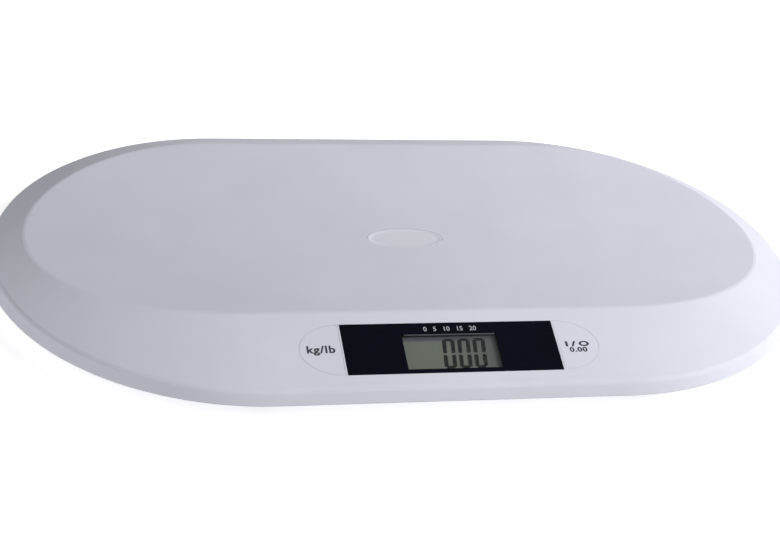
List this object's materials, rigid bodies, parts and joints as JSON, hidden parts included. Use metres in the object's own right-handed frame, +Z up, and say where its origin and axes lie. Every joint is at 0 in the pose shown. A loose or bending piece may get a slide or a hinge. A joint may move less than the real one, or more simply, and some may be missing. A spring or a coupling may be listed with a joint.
{
  "type": "digital baby weighing scale",
  "caption": "Low oval baby scale: wide shallow weighing tray with sloping rim, inset display and two side keys, battery door below, four load cell feet.",
  "frame": {"origin": "middle of the footprint, on the surface that the feet stand on", "axes": "+X along the tray, -Y towards the display side, +Z up"},
  "size_m": [0.5492, 0.3292, 0.0384],
  "materials": {
    "white_shell": "moulded white plastic, satin",
    "white_base": "moulded white plastic, fine texture",
    "white_keys": "moulded white plastic, satin",
    "badge_gloss": "smooth white plastic",
    "black_bezel": "smooth blue black plastic",
    "clear_lens": "clear acrylic",
    "lcd_glass": "olive grey liquid crystal glass",
    "holder_plastic": "moulded plastic",
    "elastomer": "layered contact rubber",
    "circuit_board": "green solder mask",
    "black_resin": "black resin",
    "connector_plastic": "cream nylon",
    "switch_metal": "tinned steel cover",
    "screw_steel": "zinc plated steel",
    "battery_jacket": "plain dark jacket with bare metal ends",
    "contact_metal": "nickel plated spring steel",
    "red_wire": "red insulation",
    "black_wire": "black insulation",
    "foot_rubber": "dark grey rubber",
    "grey_cups": "grey moulded plastic",
    "cell_steel": "nickel plated spring steel",
    "gauge_film": "strain gauge under clear resin"
  },
  "bodies": {
    "housing": {"badge": "badge_gloss", "battery_back": "battery_jacket", "battery_front": "battery_jacket", "battery_wire_black": "black_wire", "battery_wire_red": "red_wire", "board_screws": "screw_steel", "cell_clamp_back_left": "holder_plastic", "cell_clamp_back_right": "holder_plastic", "cell_clamp_front_left": "holder_plastic", "cell_clamp_front_right": "holder_plastic", "cell_lead_back_left": "black_wire", "cell_lead_back_right": "black_wire", "cell_lead_front_left": "black_wire", "cell_lead_front_right": "black_wire", "chip_cover": "black_resin", "clamp_screws": "screw_steel", "contact_bridge": "contact_metal", "contact_negative": "contact_metal", "contact_positive": "contact_metal", "contact_strips": "elastomer", "display_bezel": "black_bezel", "display_glass": "lcd_glass", "display_holder": "holder_plastic", "display_lens": "clear_lens", "foot_cup_back_left": "grey_cups", "foot_cup_back_right": "grey_cups", "foot_cup_front_left": "grey_cups", "foot_cup_front_right": "grey_cups", "foot_pad_back_left": "foot_rubber", "foot_pad_back_right": "foot_rubber", "foot_pad_front_left": "foot_rubber", "foot_pad_front_right": "foot_rubber", "lead_connectors": "connector_plastic", "load_cell_back_left": "cell_steel", "load_cell_back_right": "cell_steel", "load_cell_front_left": "cell_steel", "load_cell_front_right": "cell_steel", "lower_shell": "white_base", "main_board": "circuit_board", "power_switch": "switch_metal", "shell_screws": "screw_steel", "strain_gauge_back_left": "gauge_film", "strain_gauge_back_right": "gauge_film", "strain_gauge_front_left": "gauge_film", "strain_gauge_front_right": "gauge_film", "unit_switch": "switch_metal", "upper_shell": "white_shell"},
    "battery_door": {"battery_door": "white_base"},
    "unit_key_body": {"unit_key": "white_keys", "unit_switch_stem": "black_resin"},
    "power_key_body": {"power_key": "white_keys", "power_switch_stem": "black_resin"}
  },
  "joints": [
    {"name": "unit_key_press", "type": "slide", "parent": "housing", "child": "unit_key_body", "axis": [0, 0.304, -0.9527], "range_m": [0, 0.0005], "stiffness_N_per_m": 900, "springref_m": -0.0004},
    {"name": "power_key_press", "type": "slide", "parent": "housing", "child": "power_key_body", "axis": [0, 0.304, -0.9527], "range_m": [0, 0.0005], "stiffness_N_per_m": 900, "springref_m": -0.0004},
    {"name": "battery_door_hinge", "type": "hinge", "parent": "housing", "child": "battery_door", "pos_m": [0, 0.0705, 0.007], "axis": [1, 0, 0], "range_deg": [0, 80]}
  ]
}
